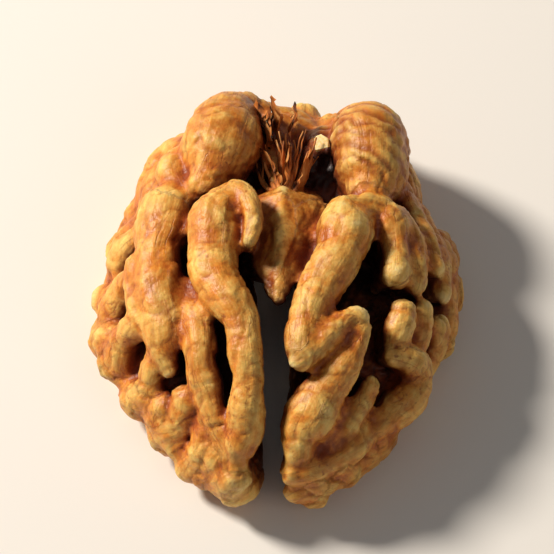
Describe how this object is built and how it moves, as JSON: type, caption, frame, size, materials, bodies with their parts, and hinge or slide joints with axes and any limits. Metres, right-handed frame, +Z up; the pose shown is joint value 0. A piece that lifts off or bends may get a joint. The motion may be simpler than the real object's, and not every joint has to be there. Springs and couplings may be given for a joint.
{
  "type": "shelled walnut kernel half",
  "caption": "Shelled walnut kernel half: two deeply folded lobes joined at one end and split by a narrow groove, lying flat on its inner side.",
  "frame": {"origin": "centre of the footprint, on the plane the kernel rests on", "axes": "+Z up through the ridged outer side; +Y along the groove towards the end where the two lobes are joined; +X across, to the zigzag lobe"},
  "size_m": [0.0266, 0.0322, 0.0122],
  "materials": {
    "seed_coat": "thin tan seed coat, slightly waxy, mottled and finely wrinkled"
  },
  "bodies": {
    "root": {"kernel": "seed_coat"}
  },
  "joints": []
}
